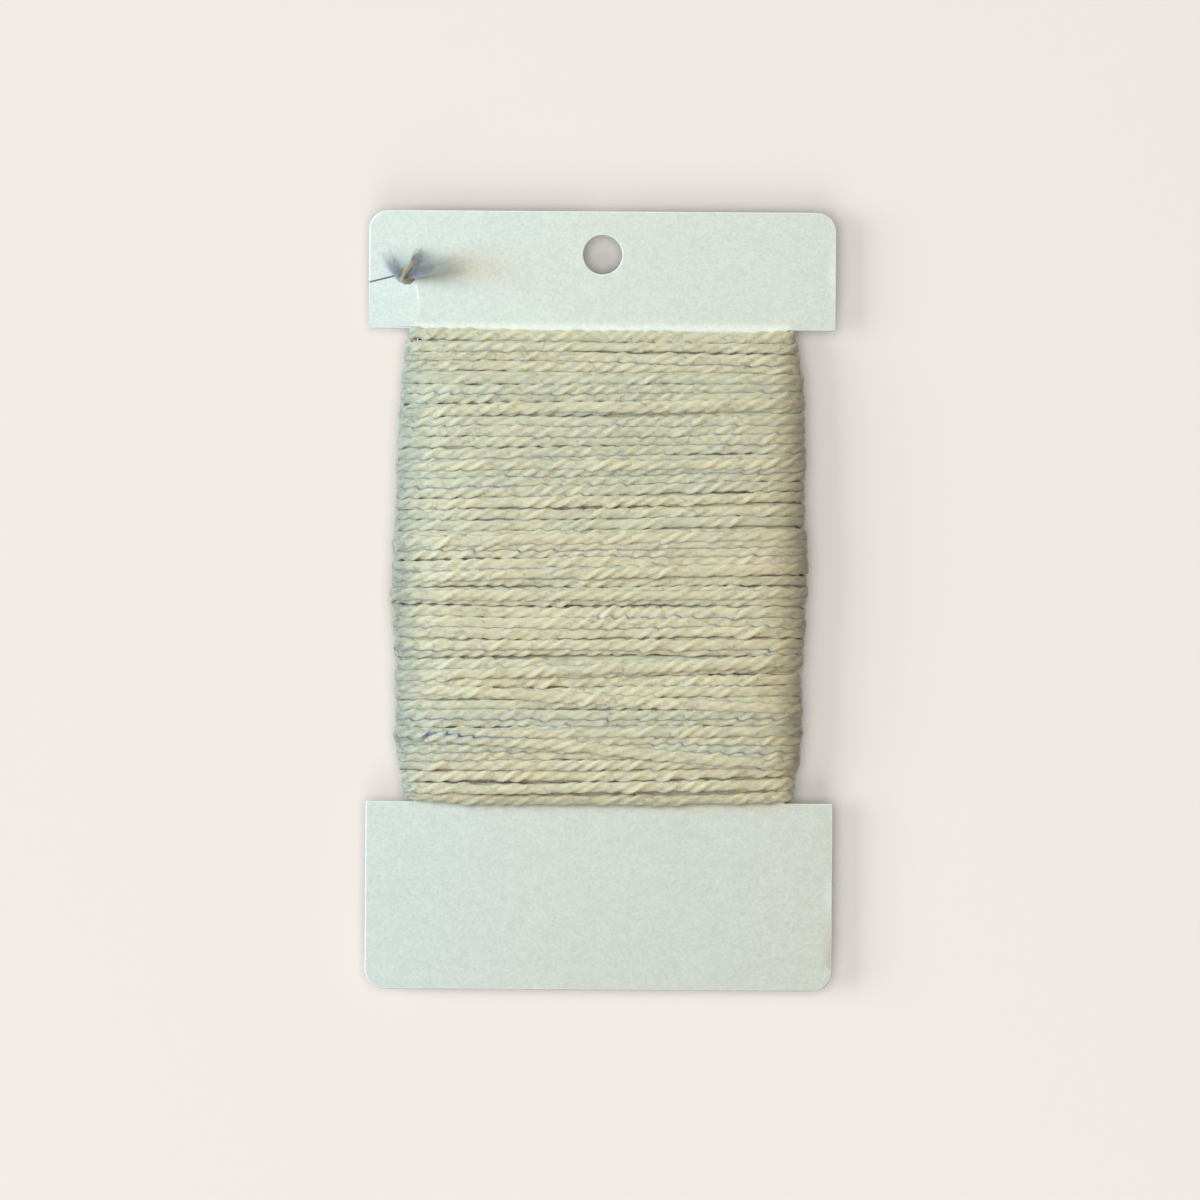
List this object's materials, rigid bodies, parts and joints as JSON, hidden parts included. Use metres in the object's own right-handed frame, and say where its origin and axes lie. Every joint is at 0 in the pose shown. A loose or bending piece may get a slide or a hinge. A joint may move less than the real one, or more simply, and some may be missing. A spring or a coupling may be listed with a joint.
{
  "type": "needlepoint thread wound on a flat card",
  "caption": "Thick twisted thread wound round the waist of an H-shaped hanging card, its end held in a slit in the card's edge.",
  "frame": {"origin": "below the centre of the card, on the plane that the turns behind the card rest on", "axes": "+X across the card to the right seen from its face, +Y up the card to the end with the hang hole, +Z out of its face"},
  "size_m": [0.0762, 0.127, 0.0088],
  "materials": {
    "card": "smooth white card stock with a faint sheen",
    "thread": "soft twisted three-ply thread, pale celery green, slightly lustrous"
  },
  "bodies": {
    "root": {"card": "card", "winding": "thread", "thread_tail": "thread"}
  },
  "joints": []
}
